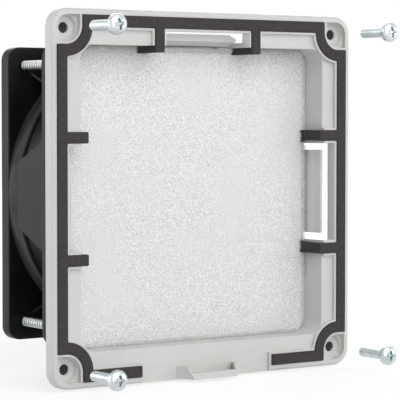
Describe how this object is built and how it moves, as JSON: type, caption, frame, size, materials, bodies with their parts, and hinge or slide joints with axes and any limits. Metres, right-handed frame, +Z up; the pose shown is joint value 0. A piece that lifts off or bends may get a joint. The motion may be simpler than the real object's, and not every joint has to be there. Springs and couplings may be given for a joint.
{
  "type": "cabinet filter fan",
  "caption": "Square filter fan for a cabinet panel: grey moulded frame with foam gasket, snap tongues and a white filter mat, corner screws in front and a deep black axial fan behind.",
  "frame": {"origin": "on the fan's axis, in the rear plane of the frame's flange", "axes": "+Y into the cabinet along the fan's axis, +Z up, +X to the right seen from outside"},
  "size_m": [0.147, 0.1061, 0.147],
  "materials": {
    "frame_plastic": "fine moulded light grey",
    "gasket_foam": "closed-cell foam, dark grey",
    "filter_fleece": "white progressive fibre mat",
    "fan_paint": "black satin paint on die casting",
    "fan_plastic": "black moulded",
    "zinc_plate": "bright zinc plate",
    "guard_chrome": "bright plated wire",
    "motor_steel": "plain steel",
    "bobbin_nylon": "natural nylon",
    "coil_copper": "enamelled copper wire",
    "tab_brass": "plain brass"
  },
  "bodies": {
    "housing": {"frame": "frame_plastic", "cover_gasket": "gasket_foam", "panel_seal": "gasket_foam", "inlet_grille": "fan_plastic", "fan_housing": "fan_paint", "fan_screws": "zinc_plate", "fan_washers": "zinc_plate", "fan_nuts": "zinc_plate", "finger_guard": "guard_chrome", "bearing_outer_rings": "motor_steel", "bearing_balls": "motor_steel", "preload_spring": "motor_steel", "stator_core": "motor_steel", "coil_bobbins": "bobbin_nylon", "stator_coils": "coil_copper", "terminal_block": "fan_plastic", "terminal_tabs": "tab_brass"},
    "rotor": {"impeller": "fan_plastic", "rotor_ring": "motor_steel", "rotor_shaft": "motor_steel", "bearing_inner_rings": "motor_steel", "shaft_clip": "motor_steel"},
    "filter": {"filter_mat": "filter_fleece"},
    "snap_left": {"snap_tongue_left": "frame_plastic"},
    "snap_right": {"snap_tongue_right": "frame_plastic"},
    "snap_top": {"snap_tongue_top": "frame_plastic"},
    "screw_top_left": {"panel_screw_top_left": "zinc_plate"},
    "screw_top_right": {"panel_screw_top_right": "zinc_plate"},
    "screw_bottom_left": {"panel_screw_bottom_left": "zinc_plate"},
    "screw_bottom_right": {"panel_screw_bottom_right": "zinc_plate"}
  },
  "joints": [
    {"name": "impeller_spin", "type": "hinge", "parent": "housing", "child": "rotor", "pos_m": [0, 0.038, 0], "axis": [0, 1, 0], "continuous": true},
    {"name": "mat_pull", "type": "slide", "parent": "housing", "child": "filter", "axis": [0, -1, 0], "range_m": [0, 0.03]},
    {"name": "snap_left_flex", "type": "hinge", "parent": "housing", "child": "snap_left", "pos_m": [-0.0608, 0.013, 0], "axis": [0, 0, 1], "range_deg": [0, 18], "stiffness_Nm_per_rad": 0.5},
    {"name": "snap_right_flex", "type": "hinge", "parent": "housing", "child": "snap_right", "pos_m": [0.0608, 0.013, 0], "axis": [0, 0, -1], "range_deg": [0, 18], "stiffness_Nm_per_rad": 0.5},
    {"name": "snap_top_flex", "type": "hinge", "parent": "housing", "child": "snap_top", "pos_m": [0, 0.013, 0.0608], "axis": [1, 0, 0], "range_deg": [0, 18], "stiffness_Nm_per_rad": 0.5},
    {"name": "screw_top_left_drive", "type": "slide", "parent": "housing", "child": "screw_top_left", "axis": [0, 1, 0], "range_m": [0, 0.0368]},
    {"name": "screw_top_right_drive", "type": "slide", "parent": "housing", "child": "screw_top_right", "axis": [0, 1, 0], "range_m": [0, 0.0368]},
    {"name": "screw_bottom_left_drive", "type": "slide", "parent": "housing", "child": "screw_bottom_left", "axis": [0, 1, 0], "range_m": [0, 0.0368]},
    {"name": "screw_bottom_right_drive", "type": "slide", "parent": "housing", "child": "screw_bottom_right", "axis": [0, 1, 0], "range_m": [0, 0.0368]}
  ]
}
